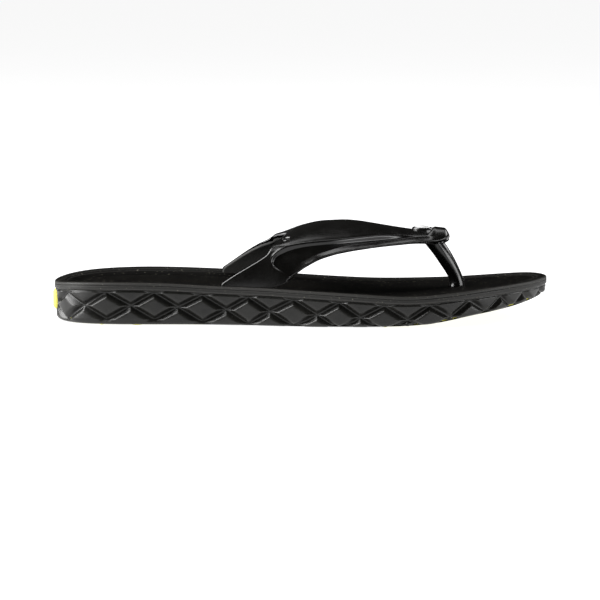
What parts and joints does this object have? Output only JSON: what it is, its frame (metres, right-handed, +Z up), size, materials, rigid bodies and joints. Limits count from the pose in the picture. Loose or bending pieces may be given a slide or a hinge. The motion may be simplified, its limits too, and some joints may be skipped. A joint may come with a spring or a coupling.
{
  "type": "flip flop",
  "caption": "Thong sandal for the right foot: dished foam sole with a diamond-relief side, moulded Y-strap, toe post, lugged rubber pads; the sole flexes at the ball of the foot.",
  "frame": {"origin": "on the ground at the middle of the sole's length and width", "axes": "+X towards the toe, +Y towards the big toe's side, +Z up"},
  "size_m": [0.286, 0.1023, 0.057],
  "materials": {
    "footbed": "satin, fine texture",
    "midsole": "matte, fine grain",
    "outsole": "matte",
    "strap": "glossy moulded",
    "badge_frame": "glossy moulded",
    "badge_face": "glossy"
  },
  "bodies": {
    "rear": {"footbed_rear": "footbed", "midsole_rear": "midsole", "outsole_heel": "outsole", "heel_patch": "outsole", "strap": "strap", "side_studs": "strap"},
    "front": {"footbed_front": "footbed", "midsole_front": "midsole", "outsole_forefoot": "outsole", "toe_post": "strap", "badge_bezel": "badge_frame", "badge_inlay": "badge_face"}
  },
  "joints": [
    {"name": "sole_flex", "type": "hinge", "parent": "rear", "child": "front", "pos_m": [0.0441, 0, 0.0188], "axis": [0, -1, 0], "range_deg": [0, 35], "stiffness_Nm_per_rad": 2, "deforming": ["strap"]}
  ]
}
